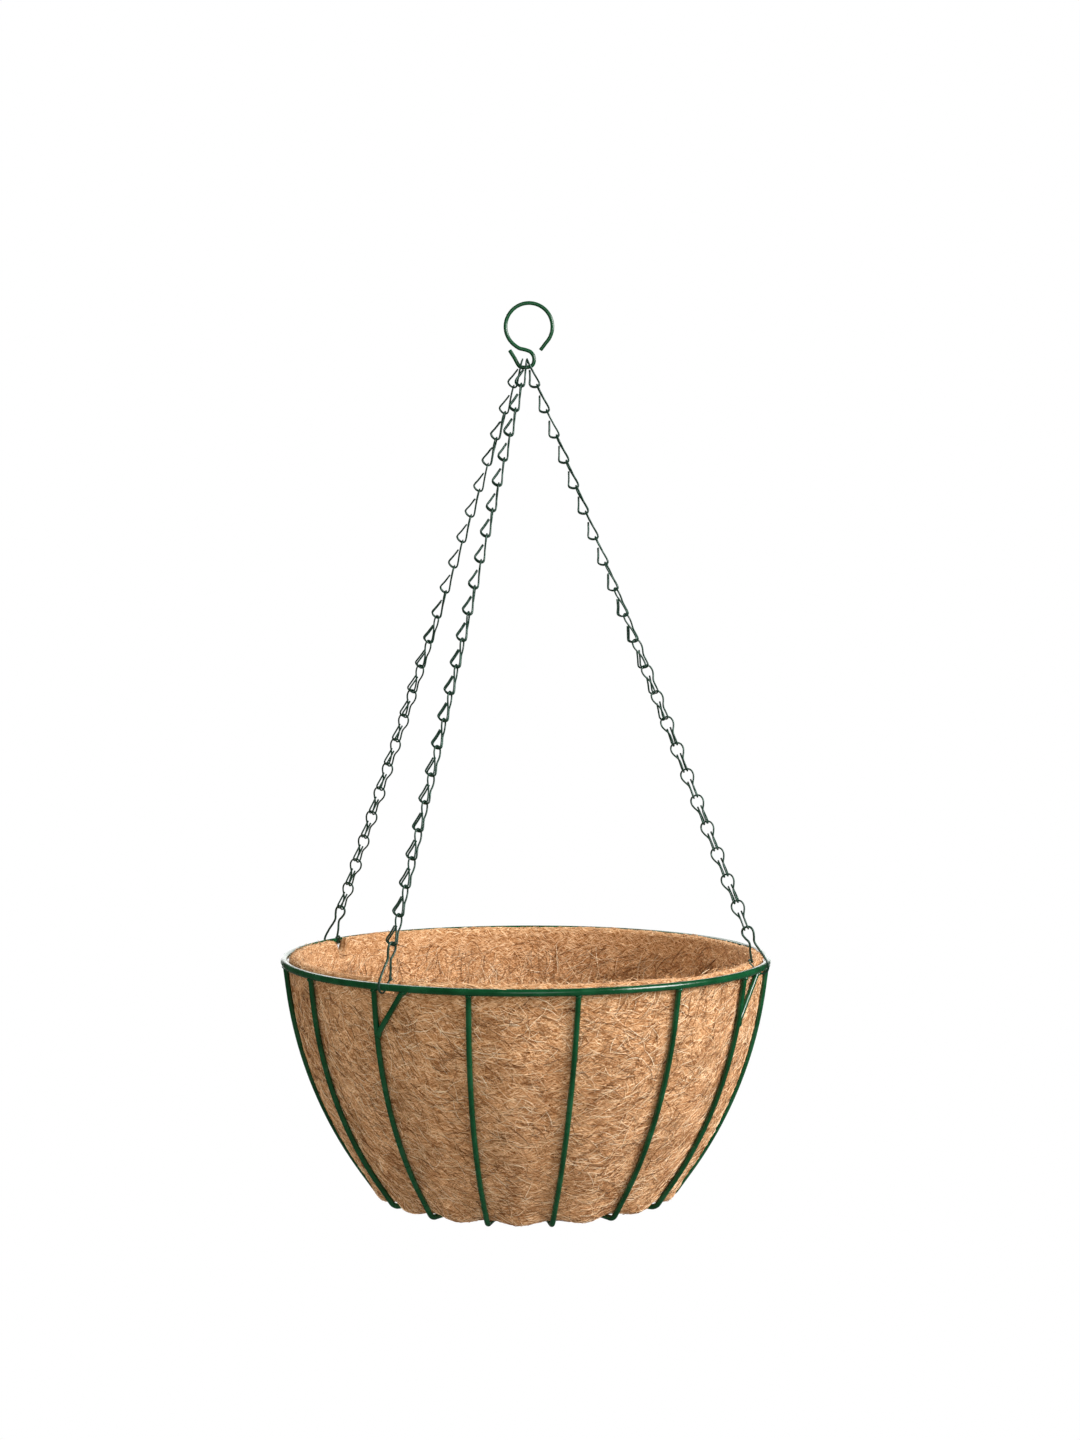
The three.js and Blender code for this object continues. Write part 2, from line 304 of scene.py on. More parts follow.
def coated_wire_material():
    """Thick glossy dark green plastic, dipped on: slow ripples, fine pores and dusty patches."""
    material, nodes, links, shader = new_material("coated_wire")
    place = nodes.new("ShaderNodeTexCoord").outputs["Object"]
    patches = add_noise(nodes, links, place, 55.0, 5.0)
    colour = add_ramp(nodes, links, patches, [
        (0.30, (0.0004, 0.032, 0.009)),
        (0.52, (0.0006, 0.056, 0.017)),
        (0.74, (0.0030, 0.080, 0.030)),
    ])
    links.new(colour, shader.inputs["Base Color"])
    grain = add_noise(nodes, links, place, 900.0, 3.0)
    roughness = add_range(nodes, links, patches, 0.16, 0.34, 0.3, 0.7)
    links.new(roughness, shader.inputs["Roughness"])
    ripples = add_noise(nodes, links, place, 190.0, 2.0)
    first = add_bump(nodes, links, ripples, 0.35, 0.0006, shader)
    add_bump(nodes, links, grain, 0.12, 0.0002, shader, first)
    shader.inputs["IOR"].default_value = 1.48
    shader.inputs["Coat Weight"].default_value = 0.25
    shader.inputs["Coat Roughness"].default_value = 0.1
    return material


def chain_material():
    """Thin green lacquer over steel wire, worn to grey metal in spots and streaks."""
    material, nodes, links, shader = new_material("chain_wire")
    place = nodes.new("ShaderNodeTexCoord").outputs["Object"]
    wear = add_noise(nodes, links, place, 420.0, 6.0, 0.65)
    colour = add_ramp(nodes, links, wear, [
        (0.34, (0.004, 0.022, 0.013)),
        (0.52, (0.012, 0.048, 0.031)),
        (0.63, (0.045, 0.095, 0.072)),
        (0.74, (0.20, 0.25, 0.225)),
    ])
    links.new(colour, shader.inputs["Base Color"])
    links.new(add_range(nodes, links, wear, 0.1, 0.85, 0.45, 0.72), shader.inputs["Metallic"])
    links.new(add_range(nodes, links, wear, 0.24, 0.46, 0.3, 0.7), shader.inputs["Roughness"])
    add_bump(nodes, links, wear, 0.3, 0.0002, shader)
    return material


def coir_material():
    """Matted coconut fibre: tan felt, with straw fibres and dark flecks that run along the mat."""
    material, nodes, links, shader = new_material("coir_felt")
    lie = nodes.new("ShaderNodeAttribute")
    lie.attribute_name = "lie"
    place = nodes.new("ShaderNodeTexCoord").outputs["Object"]
    warp = nodes.new("ShaderNodeTexNoise")
    warp.inputs["Scale"].default_value = 55.0
    warp.inputs["Detail"].default_value = 2.0
    links.new(place, warp.inputs["Vector"])
    shift = nodes.new("ShaderNodeVectorMath")
    shift.operation = "MULTIPLY_ADD"
    shift.inputs[1].default_value = (0.010, 0.010, 0.010)
    links.new(warp.outputs["Color"], shift.inputs[0])
    links.new(lie.outputs["Vector"], shift.inputs[2])
    pile = None
    for turn, long, thick in ((-0.75, 0.010, 0.0006), (0.5, 0.011, 0.0007), (-0.1, 0.009, 0.0006)):
        mapping = nodes.new("ShaderNodeMapping")
        mapping.vector_type = "TEXTURE"
        mapping.inputs["Rotation"].default_value = (0, 0, turn)
        mapping.inputs["Scale"].default_value = (long, thick, 1)
        links.new(shift.outputs["Vector"], mapping.inputs["Vector"])
        streaks = add_noise(nodes, links, mapping.outputs["Vector"], 1.0, 2.0, 0.6)
        if pile is None:
            pile = streaks
            continue
        higher = nodes.new("ShaderNodeMath")
        higher.operation = "MAXIMUM"
        links.new(pile, higher.inputs[0])
        links.new(streaks, higher.inputs[1])
        pile = higher.outputs["Value"]
    clumps = add_noise(nodes, links, place, 480.0, 5.0, 0.8)
    blend = nodes.new("ShaderNodeMath")
    blend.operation = "MULTIPLY_ADD"
    links.new(clumps, blend.inputs[0])
    blend.inputs[1].default_value = 0.4
    links.new(pile, blend.inputs[2])
    shade = add_range(nodes, links, blend.outputs["Value"], 0.0, 1.0, 0.62, 0.93)
    links.new(add_ramp(nodes, links, shade, [
        (0.00, (0.095, 0.030, 0.007)),
        (0.22, (0.270, 0.110, 0.034)),
        (0.48, (0.500, 0.255, 0.112)),
        (0.74, (0.740, 0.470, 0.270)),
        (1.00, (0.920, 0.720, 0.500)),
    ]), shader.inputs["Base Color"])
    add_bump(nodes, links, blend.outputs["Value"], 0.8, 0.0009, shader)
    shader.inputs["Roughness"].default_value = 0.92
    shader.inputs["Specular IOR Level"].default_value = 0.12
    shader.inputs["Sheen Weight"].default_value = 0.05
    shader.inputs["Sheen Roughness"].default_value = 0.6
    return material


def fibre_material():
    """Single coir fibres, each with its own tone from dark husk to pale straw."""
    material, nodes, links, shader = new_material("coir_fibres")
    tone = nodes.new("ShaderNodeAttribute")
    tone.attribute_name = "tone"
    place = nodes.new("ShaderNodeTexCoord").outputs["Object"]
    mottle = add_noise(nodes, links, place, 300.0, 2.0)
    mixed = nodes.new("ShaderNodeMath")
    mixed.operation = "MULTIPLY_ADD"
    links.new(mottle, mixed.inputs[0])
    mixed.inputs[1].default_value = 0.3
    links.new(tone.outputs["Fac"], mixed.inputs[2])
    shade = add_range(nodes, links, mixed.outputs["Value"], 0.0, 1.0, 0.12, 1.15)
    links.new(add_ramp(nodes, links, shade, [
        (0.00, (0.085, 0.026, 0.006)),
        (0.28, (0.330, 0.140, 0.046)),
        (0.55, (0.620, 0.350, 0.165)),
        (0.80, (0.880, 0.620, 0.380)),
        (1.00, (0.970, 0.830, 0.620)),
    ]), shader.inputs["Base Color"])
    shader.inputs["Roughness"].default_value = 0.65
    shader.inputs["Specular IOR Level"].default_value = 0.25
    return material


def floor_material():
    """A white sweep, lit so that it reads as plain white, and grey in what it throws back."""
    material, nodes, links, shader = new_material("white_sweep")
    rays = nodes.new("ShaderNodeLightPath")
    grey = add_range(nodes, links, rays.outputs["Is Glossy Ray"], 0.45, 0.05)
    links.new(grey, shader.inputs["Base Color"])
    shader.inputs["Roughness"].default_value = 0.9
    glow = nodes.new("ShaderNodeEmission")
    glow.inputs["Color"].default_value = (1, 1, 1, 1)
    mix = nodes.new("ShaderNodeMixShader")
    links.new(rays.outputs["Is Camera Ray"], mix.inputs["Fac"])
    links.new(shader.outputs["BSDF"], mix.inputs[1])
    links.new(glow.outputs["Emission"], mix.inputs[2])
    links.new(mix.outputs["Shader"], nodes["Material Output"].inputs["Surface"])
    return material


COATED = coated_wire_material()
CHAIN = chain_material()
COIR = coir_material()
FIBRE = fibre_material()

# ---------------------------------------------------------------- the wire bowl

arc_start = (
    RIB_TOP_RADIUS - RIB_STRAIGHT * math.sin(RIB_TOP_SLOPE),
    -RIB_STRAIGHT * math.cos(RIB_TOP_SLOPE),
)


def on_arc(slope, inward=0.0):
    """Radius and height on the rib's long arc, at a slope from the vertical, moved inward."""
    radius = arc_start[0] - RIB_ARC_RADIUS * (math.cos(RIB_TOP_SLOPE) - math.cos(slope))
    height = arc_start[1] - RIB_ARC_RADIUS * (math.sin(slope) - math.sin(RIB_TOP_SLOPE))
    return radius - inward * math.cos(slope), height + inward * math.sin(slope)


def rib_radius(height):
    if height > arc_start[1]:
        return RIB_TOP_RADIUS + height * math.tan(RIB_TOP_SLOPE)
    sine = math.sin(RIB_TOP_SLOPE) + (arc_start[1] - height) / RIB_ARC_RADIUS
    return on_arc(math.asin(sine))[0]


def rib_profile():
    """The rib's side view: up into the rim's weld, down the arc, round the bend and in to the ring."""
    profile = [(rib_radius(-1.2), -1.2), (rib_radius(-9.0), -9.0)]
    profile += [on_arc(slope) for slope in np.linspace(RIB_TOP_SLOPE, RIB_LOW_SLOPE, 22)]
    end_radius, end_height = profile[-1]
    bend_drop = RIB_BEND_RADIUS * (1 - math.sin(RIB_LOW_SLOPE))
    drop = end_height + FOOT_DEPTH - bend_drop
    centre = (
        end_radius - drop * math.tan(RIB_LOW_SLOPE) - RIB_BEND_RADIUS * math.cos(RIB_LOW_SLOPE),
        end_height - drop + RIB_BEND_RADIUS * math.sin(RIB_LOW_SLOPE),
    )
    for angle in np.linspace(-RIB_LOW_SLOPE, -math.pi / 2, 9):
        profile.append((
            centre[0] + RIB_BEND_RADIUS * math.cos(angle),
            centre[1] + RIB_BEND_RADIUS * math.sin(angle),
        ))
    profile.append((BASE_RING_RADIUS + 1.0, -FOOT_DEPTH))
    return profile


def ring_path(radius, height, steps, waver):
    """A hand-bent ring: round, with a slow waver in its radius and height."""
    turn = np.linspace(0, 360, steps, endpoint=False)
    sway = waver * (0.6 * np.sin(np.radians(3 * turn + 40)) + 0.4 * np.sin(np.radians(7 * turn + 10)))
    return around(turn, radius + sway, height + 0.5 * sway)


def build_rim():
    parts = [wire(ring_path(RIM_RADIUS, 0.0, 288, 0.18), RIM_WIRE, 20, closed=True)]
    seam = around(163.0, RIM_RADIUS, 0.0)
    parts.append(bead(seam, np.array([2.9, 2.9, 2.7])))
    make_piece("rim_wire", parts, COATED, "basket", ["rim"])


def build_ribs():
    profile = rib_profile()
    for number, angle in enumerate(RIB_ANGLES, 1):
        bow = random.uniform(-0.25, 0.25)
        points = [
            on_rib(angle + bow * math.sin(math.pi * index / (len(profile) - 1)), radius, height)
            for index, (radius, height) in enumerate(profile)
        ]
        parts = [wire(points, RIB_WIRE, 14)]
        parts.append(bead(around(angle, RIB_TOP_RADIUS, -2.9), np.array([2.35, 2.35, 1.5])))
        foot = on_rib(angle, BASE_RING_RADIUS + 1.6, -FOOT_DEPTH + 0.1)
        parts.append(bead(foot, np.array([2.5, 2.5, 2.0])))
        make_piece(f"rib_wire_{number:02d}", parts, COATED, "basket", [f"rib_{number:02d}"])


def build_base_ring():
    parts = [wire(ring_path(BASE_RING_RADIUS, -FOOT_DEPTH, 160, 0.1), RIB_WIRE, 14, closed=True)]
    make_piece("base_ring_wire", parts, COATED, "basket", ["base_ring"])


def build_brace(chain):
    across = abs(math.radians(chain["brace"] - chain["rib"])) * RIB_TOP_RADIUS
    height = -across / math.tan(BRACE_SLOPE)
    top = around(chain["brace"], RIB_TOP_RADIUS, -1.4)
    joint = on_rib(chain["rib"], rib_radius(height), height)
    points = [top + (joint - top) * share for share in np.linspace(0, 0.985, 12)]
    parts = [
        wire(points, RIB_WIRE, 14),
        bead(around(chain["brace"], RIB_TOP_RADIUS, -2.9), np.array([2.5, 2.5, 1.6])),
        bead(joint + (top - joint) * 0.06, np.array([2.4, 2.4, 3.6])),
    ]
    name = chain["name"]
    make_piece(f"brace_wire_{name}", parts, COATED, "basket", [f"brace_{name}"])


# ---------------------------------------------------------------- the hanger

def build_hook():
    x, z = RING_CENTRE
    outline = [(-11.4, 11.5), (-8.0, 6.0), (-5.6, 1.7), (-3.9, 0.0), (2.2, 0.0), (4.5, 1.2),
               (5.7, 4.0), (5.4, 7.6), (3.2, 10.7), (-0.9, 12.3), (-4.6, 13.2)]
    for angle in np.radians(np.linspace(235, -32, 23)):
        outline.append((x + RING_RADIUS * math.cos(angle), z + RING_RADIUS * math.sin(angle)))
    outline += [(x + 11.6, z - 12.2), (x + RING_TAIL[0], z + RING_TAIL[1])]
    points = smooth_path([HOOK_CONTACT + np.array([across, 0, up]) for across, up in outline], 6)
    make_piece("hook_wire", [wire(points, HOOK_WIRE, 18)], COATED, "hook", ["hook"])


def build_clip(chain):
    """A safety-pin clip in the rim's radial plane, its outer leg hooked round the rim."""
    top_radius, top_height = CLIP_TOP
    length = math.hypot(RIM_RADIUS - top_radius, top_height)
    lean = math.atan2(RIM_RADIUS - top_radius, top_height)
    outline = [
        (-5.2, 5.6, 0.5), (-3.9, 0.40 * length, 0.3), (-1.7, 0.64 * length, 0), (-3.1, 0.76 * length, 0),
        (-4.0, 0.87 * length, 0), (-3.2, 0.96 * length, 0), (-1.3, length, 0), (1.3, length, 0),
        (3.2, 0.96 * length, 0), (4.0, 0.87 * length, 0), (3.2, 0.75 * length, 0), (1.9, 0.62 * length, 0),
        (4.0, 0.30 * length, 0), (5.0, 3.0, 0), (4.9, 0.2, 0), (3.6, -2.5, 0), (1.4, -3.9, 0),
        (-1.4, -3.8, -0.3), (-3.7, -2.0, -0.7), (-5.3, 2.2, -0.9), (-6.6, 6.4, -0.8),
        (-6.2, 7.9, 0), (-5.3, 7.4, 0.8), (-5.1, 6.2, 1.5),
    ]
    tangent = around(chain["clip"] + 90, 1, 0) - CENTRE
    points = [
        around(
            chain["clip"],
            RIM_RADIUS + out * math.cos(lean) - up * math.sin(lean),
            out * math.sin(lean) + up * math.cos(lean),
        ) + tangent * aside
        for out, up, aside in outline
    ]
    name = chain["name"]
    parts = [wire(smooth_path(points, 6), CLIP_WIRE, 12)]
    make_piece(f"clip_wire_{name}", parts, CHAIN, "basket", [f"rim_clip_{name}"])


def link_path(half, slack):
    """One wire bent into a link: a pear loop above, and two legs that run down and hook back up."""
    leg, wide, reach = LEG_SPACING / 2, LINK_HALF_WIDTH, HOOK_REACH
    right = [
        (leg - 0.1, 0.20 * reach, 0.25 * half), (leg, 0.60 * reach, -0.25 * half), (leg, reach, -0.69 * half),
        (leg, 0.97 * reach, -0.78 * half), (leg, 0.70 * reach, -0.91 * half), (leg, 1.1, -half),
        (leg, -0.9, -0.985 * half), (leg, -1.8, -0.90 * half), (leg, -2.0, -0.77 * half),
        (leg, -1.2, -0.22 * half), (0.45 * wide, -0.9, -0.02 * half), (0.76 * wide, -0.6, 0.22 * half),
        (0.97 * wide, -0.3, 0.45 * half), (wide, -0.15, 0.62 * half), (0.86 * wide, 0, 0.83 * half),
        (0.56 * wide, 0, 0.955 * half), (0.25 * wide, 0, half),
    ]
    left = [(-across, out, up) for across, out, up in right[::-1]]
    left[-1] = (-leg, 0.26 * reach, (0.19 + 0.1 * slack) * half)
    left[-3] = (-leg, reach * (1 + 0.08 * slack), -0.70 * half)
    return right + left


def chain_body(link):
    if link < LINKS_LOWER:
        return "lower"
    return "middle" if link < LINKS_LOWER + LINKS_MIDDLE else "upper"


def build_chain(chain):
    low = around(chain["clip"], *CLIP_TOP)
    high = HOOK_CONTACT + np.array([chain["on_hook"], 0, 0])
    along = (high - low) / np.linalg.norm(high - low)
    first = -(CLIP_WIRE + CHAIN_WIRE) / 2
    last = np.linalg.norm(high - low) + (HOOK_WIRE + CHAIN_WIRE) / 2 + HOOK_GAP
    length = (last - first + (LINKS - 1) * (CHAIN_WIRE + CROSSING_GAP)) / LINKS
    back = np.array([0.0, 1.0, 0.0])
    back = back - along * (back @ along)
    back /= np.linalg.norm(back)
    side = np.cross(along, back)
    for link in range(LINKS):
        middle = low + along * (first + length / 2 + link * (length - CHAIN_WIRE - 0.05))
        below = 1 - (link + 0.5) / LINKS
        share = min(1.0, max(0.0, (below - TWIST_FROM) / (TWIST_TO - TWIST_FROM)))
        turn = chain["twist"] * share * share * (3 - 2 * share) + random.uniform(-LINK_SWAY, LINK_SWAY)
        cosine, sine = math.cos(math.radians(turn)), math.sin(math.radians(turn))
        u = back * cosine + side * sine
        v = side * cosine - back * sine
        local = smooth_path(link_path(length / 2, random.uniform(-0.4, 0.5)), 4)
        points = middle + local[:, :1] * u + local[:, 1:2] * v + local[:, 2:] * along
        body = f"chain_{chain['name']}_{chain_body(link)}"
        name = f"link_{chain['name']}_{link + 1:02d}"
        nodes = [f"chain_{chain['name']}_links_{link // 2 + 1:02d}"] if link % 2 == 0 else []
        make_piece(name, [wire(points, CHAIN_WIRE, 8)], CHAIN, body, nodes)


# ---------------------------------------------------------------- the liner

def liner_section():
    """The liner's cut section from the middle of its underside, up the outside, over and down inside.

    It gives radius, height, the outward normal and the distance along the section for each point.
    """
    under = -FOOT_DEPTH + RIB_WIRE / 2 + 0.3
    slopes = np.linspace(RIB_LOW_SLOPE, RIB_TOP_SLOPE, 9)
    outer = [on_arc(slope, LINER_INSET) for slope in slopes]
    inner = [on_arc(slope, LINER_INSET + LINER_WALL) for slope in slopes[::-1]]
    top_outer = RIM_RADIUS - RIM_WIRE / 2 - 1.2
    top_inner = top_outer - LINER_WALL
    corner = outer[0][0]
    outline = [(0.0, under), (40.0, under), (75.0, under), (corner - 21, under),
               (corner - 13.5, under + 0.5), (corner - 9.5, under + 2.3), (corner - 6.6, under + 5.4),
               *outer, (top_outer, -6.0), (top_outer, -1.0),
               (top_outer - 0.8, LINER_TOP - 0.9), (top_outer - 3.0, LINER_TOP),
               (top_inner + 3.0, LINER_TOP), (top_inner + 0.6, LINER_TOP - 1.2), (top_inner, -4.0), *inner,
               (inner[-1][0] - 4.0, under + LINER_BASE + 3.5), (inner[-1][0] - 13.0, under + LINER_BASE),
               (60.0, under + LINER_BASE), (0.0, under + LINER_BASE)]
    path = smooth_path([(radius, 0.0, height) for radius, height in outline], 12)[:, [0, 2]]
    steps = np.r_[0, np.cumsum(np.linalg.norm(np.diff(path, axis=0), axis=1))]
    along = np.linspace(0, steps[-1], LINER_ROWS)
    radius = np.maximum(np.interp(along, steps, path[:, 0]), 0)
    height = np.interp(along, steps, path[:, 1])
    way = np.stack([np.gradient(radius), np.gradient(height)], 1)
    way /= np.linalg.norm(way, axis=1, keepdims=True)
    normal = np.stack([way[:, 1], -way[:, 0]], 1)
    return radius, height, normal, along


SECTION = liner_section()
CLIP_ANGLES = np.array([chain["clip"] for chain in CHAINS])


def between_ribs(degrees, height):
    """0 at a rib, rising to 1 halfway between two ribs."""
    ribs = np.r_[RIB_ANGLES[-1] - 360, RIB_ANGLES, RIB_ANGLES[0] + 360]
    turn = (degrees + FOOT_TURN * height / FOOT_DEPTH + 180) % 360 - 180
    index = np.clip(np.searchsorted(ribs, turn) - 1, 0, len(ribs) - 2)
    share = (turn - ribs[index]) / (ribs[index + 1] - ribs[index])
    return np.sin(math.pi * share) ** 2


def notch(degrees):
    """How deep the rim clips' slits cut the liner's top edge at an angle, from 0 to 1."""
    away = np.abs((np.asarray(degrees)[..., None] - CLIP_ANGLES + 180) % 360 - 180).min(-1)
    away = np.radians(away) * RIM_RADIUS
    return 1 / (1 + np.exp((away - NOTCH_HALF_WIDTH) * 1.6))


def edge_height(degrees):
    """How far the torn top edge stands over the height it has in the CAD model."""
    turn = np.radians(degrees)
    slow = 0.9 * np.sin(5 * turn + 1.0) + 0.7 * np.sin(11 * turn + 2.2) + 0.5 * np.sin(23 * turn)
    return 0.65 + 0.95 * np.cos(turn) - 0.2 * np.sin(turn) + slow * 0.35


def liner_point(degrees, place, lift):
    """Points of the liner's surface at an angle and a distance along its section, lifted off it."""
    radius, height, normal, along = SECTION
    r = np.interp(place, along, radius)
    z = np.interp(place, along, height)
    nr = np.interp(place, along, normal[:, 0])
    nz = np.interp(place, along, normal[:, 1])
    span = between_ribs(degrees, z)
    outside = np.clip((nr - 0.1) / 0.5, 0, 1)
    swell = span * outside * 2.3 * np.clip((-z - 8) / 30, 0, 1)
    near_top = np.clip((z + 16) / 18, 0, 1) ** 1.5
    sag = np.clip((-z - 152) / 8, 0, 1) * np.clip((r - 60) / 30, 0, 1) * np.clip((-nz + 0.1) / 0.5, 0, 1)
    z = z + near_top * (edge_height(degrees) - NOTCH_DEPTH * notch(degrees)) - 2.9 * sag * span
    r = r + nr * (lift + swell)
    z = z + nz * (lift + 0.6 * swell * (z < -40))
    return around(degrees, r, z)


def build_liner():
    radius, height, normal, along = SECTION
    columns = LINER_COLUMNS
    degrees = np.linspace(-180, 180, columns, endpoint=False)
    rows = len(along)
    vertices = []
    for row in range(1, rows - 1):
        flat = liner_point(degrees, np.full(columns, along[row]), 0.0)
        lumps = np.array([
            0.55 * noise.fractal(Vector(point) * 0.045, 0.9, 2.1, 3)
            + 0.45 * noise.noise(Vector((point[0] * 0.22, point[1] * 0.22, point[2] * 0.5)))
            + 0.30 * noise.noise(Vector(point) * 0.9)
            for point in flat
        ])
        lumps = np.clip(lumps, -0.8, 0.6)
        vertices.append(liner_point(degrees, np.full(columns, along[row]), lumps * 0.8))
    rings = rows - 2
    under, floor = rings * columns, rings * columns + 1
    vertices = np.vstack([*vertices, around(0.0, 0.0, height[0]), around(0.0, 0.0, height[-1])])
    faces = []
    for ring in range(rings - 1):
        for column in range(columns):
            following = (column + 1) % columns
            faces.append((ring * columns + column, ring * columns + following,
                          (ring + 1) * columns + following, (ring + 1) * columns + column))
    last = (rings - 1) * columns
    for column in range(columns):
        following = (column + 1) % columns
        faces.append((under, following, column))
        faces.append((floor, last + column, last + following))
    piece = make_piece("coir_felt_liner", [(vertices, faces)], COIR, "basket", ["coir_liner"])
    spread = np.radians(np.tile(degrees, rings))
    section = np.repeat(along[1:-1], columns)
    lies = np.zeros((len(piece.data.loops), 3))
    corners = np.empty(len(lies), int)
    piece.data.loops.foreach_get("vertex_index", corners)
    on_ring = corners < under
    lies[on_ring, 0] = spread[corners[on_ring]] * LIE_RADIUS
    lies[on_ring, 1] = section[corners[on_ring]]
    lies[corners == floor, 1] = along[-1]
    starts = np.empty(len(piece.data.polygons), int)
    totals = np.empty(len(starts), int)
    piece.data.polygons.foreach_get("loop_start", starts)
    piece.data.polygons.foreach_get("loop_total", totals)
    for start in starts[totals == 4]:
        turns = lies[start:start + 4, 0]
        if np.ptp(turns) > LIE_RADIUS:
            turns[turns < 0] += 2 * math.pi * LIE_RADIUS
    attribute = piece.data.attributes.new("lie", "FLOAT_VECTOR", "CORNER")
    attribute.data.foreach_set("vector", (lies * MM).astype(np.float32).ravel())


def fibre_mesh(name, points, radii, tones):
    """Three-sided fibres along points[fibre, step], each with a tone, thinner at both ends."""
    count, steps, _ = points.shape
    tangents = np.gradient(points, axis=1)
    tangents /= np.linalg.norm(tangents, axis=2, keepdims=True) + 1e-9
    out = points - np.array([CENTRE[0], CENTRE[1], CENTRE[2] - 60])
    u = np.cross(tangents, out)
    u /= np.linalg.norm(u, axis=2, keepdims=True) + 1e-9
    v = np.cross(tangents, u)
    taper = np.sin(np.linspace(0.35, math.pi - 0.35, steps))[None, :, None] ** 0.5
    rings = []
    for side in range(3):
        turn = 2 * math.pi * side / 3
        rings.append(points + radii[:, None, None] * taper * (math.cos(turn) * u + math.sin(turn) * v))
    vertices = np.stack(rings, axis=2).reshape(-1, 3)
    fibre = np.arange(count)[:, None, None] * steps * 3
    step = np.arange(steps - 1)[None, :, None] * 3
    side = np.arange(3)[None, None, :]
    following = (side + 1) % 3
    quads = np.stack([fibre + step + side, fibre + step + following,
                      fibre + step + 3 + following, fibre + step + 3 + side], axis=-1).reshape(-1, 4)
    starts = (np.arange(count) * steps * 3)[:, None]
    ends = starts + (steps - 1) * 3
    caps = [*(starts + [2, 1, 0]).tolist(), *(ends + [0, 1, 2]).tolist()]
    piece = make_piece(name, [(vertices, [*quads.tolist(), *caps])], FIBRE, "basket")
    attribute = piece.data.attributes.new("tone", "FLOAT", "POINT")
    attribute.data.foreach_set("value", np.repeat(tones, steps * 3).astype(np.float32))


def lying_fibres(name, count, places, angles, leans, lengths, lift):
    """Loose fibres that lie on the liner, each a shallow curve tucked in at both ends.

    leans is either a mean lean, or angles round the basket and the mean lean at each, with a spread.
    """
    steps = 5
    degrees = random.uniform(*angles, count)
    place = random.uniform(*places, count)
    mean = np.interp(degrees, *leans[0]) if isinstance(leans[0], tuple) else leans[0]
    lean = random.normal(mean, leans[1], count)
    length = random.uniform(*lengths, count)
    bend = random.normal(0, 0.75, count)
    share = np.linspace(-0.5, 0.5, steps)[None, :]
    heading = lean[:, None] + bend[:, None] * share
    along_arc = np.cumsum(np.cos(heading) * length[:, None] / steps, 1)
    along_section = np.cumsum(np.sin(heading) * length[:, None] / steps, 1)
    section = np.clip(place[:, None] + along_section, places[0] - 6, places[1] + 6)
    local = np.interp(section, SECTION[3], SECTION[0])
    turn = degrees[:, None] + np.degrees(along_arc / np.maximum(local, 25))
    rise = lift * random.uniform(0.3, 1.0, count)[:, None] * np.sin(math.pi * (share + 0.5)) ** 0.6
    wander = 0.10 * random.normal(0, 1, (count, steps))
    points = liner_point(turn, section, rise + wander - 0.1)
    radius = random.uniform(*FIBRE_RADII, count)
    fibre_mesh(name, points, radius, random.beta(1.3, 1.2, count))


def section_place(condition):
    """The distances along the section where a condition on radius, height and normal holds."""
    radius, height, normal, along = SECTION
    held = along[condition(radius, height, normal)]
    return held.min(), held.max()


def build_fibres():
    outside = section_place(lambda r, z, n: (n[:, 0] > 0.5) & (z < -3))
    inside = section_place(lambda r, z, n: (n[:, 0] < -0.5) & (z < -3))
    underside = section_place(lambda r, z, n: (n[:, 1] < -0.6) & (r > 12))
    floor = section_place(lambda r, z, n: (n[:, 1] > 0.8) & (z < -100) & (r > 12))
    quarters = [(-180, -90), (-90, 0), (0, 90), (90, 180)]
    lean_outside = ((-180, -60, -30, 0, 35, 90, 180), (0.5, -0.75, -0.6, -0.2, 0.4, 0.5, 0.5))
    for number, angles in enumerate(quarters, 1):
        leans = (lean_outside, 0.6)
        lying_fibres(f"fibres_outside_{number}", FIBRES_OUTSIDE, outside, angles, leans, (8, 26), 0.8)
        lying_fibres(f"fibres_inside_{number}", FIBRES_INSIDE, inside, angles, (0.9, 0.7), (12, 38), 0.8)
    lying_fibres("fibres_underside", FIBRES_UNDERSIDE, underside, (-180, 180), (0.0, 2.0), (9, 28), 0.3)
    lying_fibres("fibres_floor", FIBRES_FLOOR, floor, (-180, 180), (0.0, 2.0), (9, 28), 0.8)
    build_fringe()


def build_fringe():
    """Short fibres that stand out of the torn top edge, and long ones that hang loose over it."""
    top = section_place(lambda r, z, n: (n[:, 1] > 0.2) & (z > -3))
    count, steps = FIBRES_FRINGE, 6
    degrees = random.uniform(-180, 180, count)
    place = random.uniform(top[0] - 1, top[1] + 1, count)
    length = random.gamma(2.2, 2.0, count) + 2.0
    turn_rate = random.normal(0, 1.0, count)
    lean = random.normal(0, 1.2, count)
    share = np.linspace(0, 1, steps)[None, :]
    heading = lean[:, None] + turn_rate[:, None] * share
    arc = np.cumsum(np.sin(heading) * length[:, None] / steps, 1)
    rise = np.cumsum(np.abs(np.cos(heading)) * length[:, None] / steps, 1) * 0.42 - 0.8
    rise *= (0.62 + 0.38 * np.cos(np.radians(degrees)))[:, None]
    drift = random.normal(0, 0.16, count)[:, None] * share * length[:, None]
    points = liner_point(degrees[:, None] + np.degrees(arc / RIM_RADIUS), place[:, None] + drift, rise)
    fibre_mesh("fibres_top_edge", points, random.uniform(0.10, 0.26, count), random.beta(2.2, 2.0, count))


# ---------------------------------------------------------------- stage

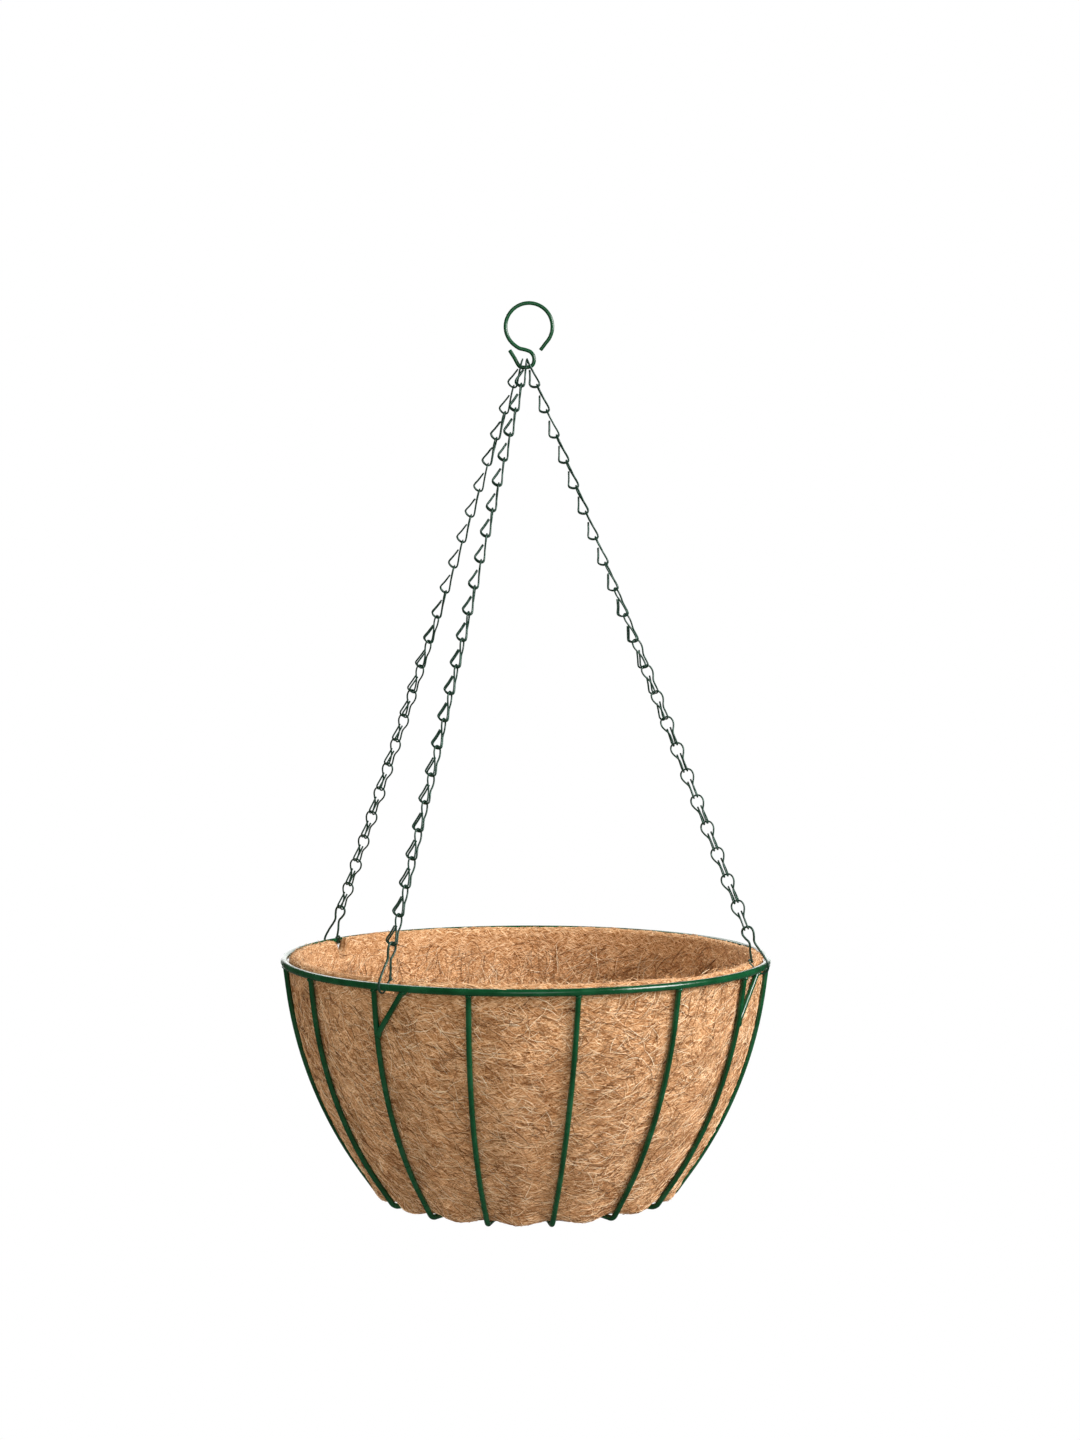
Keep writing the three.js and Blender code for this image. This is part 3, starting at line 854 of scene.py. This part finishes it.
def area_light(name, place, target, size, power):
    light = bpy.data.lights.new(name, "AREA")
    light.shape = "DISK"
    light.size = size
    light.energy = power
    lamp = bpy.data.objects.new(name, light)
    lamp.location = place
    lamp.rotation_euler = (Vector(target) - Vector(place)).to_track_quat("-Z", "Y").to_euler()
    lamp.visible_camera = False
    bpy.context.scene.collection.objects.link(lamp)


def build_stage():
    rim = Vector(CENTRE * MM)
    bpy.ops.mesh.primitive_plane_add(size=30, location=(0, 6, rim.z - 0.62))
    floor = bpy.context.object
    floor.name = "floor"
    floor.data.materials.append(floor_material())
    world = bpy.data.worlds.new("studio")
    world.use_nodes = True
    nodes, links = world.node_tree.nodes, world.node_tree.links
    rays = nodes.new("ShaderNodeLightPath")
    seen = add_range(nodes, links, rays.outputs["Is Camera Ray"], AMBIENT, 1.0)
    mirrored = nodes.new("ShaderNodeMath")
    mirrored.operation = "MULTIPLY_ADD"
    links.new(rays.outputs["Is Glossy Ray"], mirrored.inputs[0])
    mirrored.inputs[1].default_value = AMBIENT_MIRRORED - AMBIENT
    links.new(seen, mirrored.inputs[2])
    links.new(mirrored.outputs["Value"], nodes["Background"].inputs["Strength"])
    cast = nodes.new("ShaderNodeMix")
    cast.data_type = "RGBA"
    links.new(rays.outputs["Is Camera Ray"], cast.inputs["Factor"])
    cast.inputs["A"].default_value = (1.0, 0.93, 0.80, 1.0)
    cast.inputs["B"].default_value = (1.0, 1.0, 1.0, 1.0)
    links.new(cast.outputs["Result"], nodes["Background"].inputs["Color"])
    bpy.context.scene.world = world
    area_light("key", rim + Vector((1.75, -0.85, 1.0)), rim, 1.1, 62)
    area_light("fill", rim + Vector((0.2, -2.2, 0.5)), rim, 1.2, 6)
    area_light("back", rim + Vector((-0.6, 1.7, 1.3)), rim, 1.0, 10)
    area_light("backdrop", rim + Vector((0.0, 3.0, 0.1)), rim, 2.4, 30)
    bpy.context.scene.view_settings.view_transform = "Standard"


def build_camera():
    """The camera stands level with the middle of the chains and looks a little down."""
    camera_data = bpy.data.cameras.new("camera")
    camera_data.sensor_fit = "VERTICAL"
    camera_data.sensor_height = 36
    camera_data.lens = 54.05
    camera = bpy.data.objects.new("camera", camera_data)
    camera.location = Vector(CENTRE * MM) + Vector((0.010, -1.547, 0.206))
    camera.rotation_euler = (math.radians(90 - 1.325), 0, 0)
    bpy.context.scene.collection.objects.link(camera)
    bpy.context.scene.camera = camera


build_camera()
build_stage()
build_rim()
build_ribs()
build_base_ring()
build_hook()
for hanger in CHAINS:
    build_brace(hanger)
    build_clip(hanger)
    build_chain(hanger)
build_liner()
build_fibres()
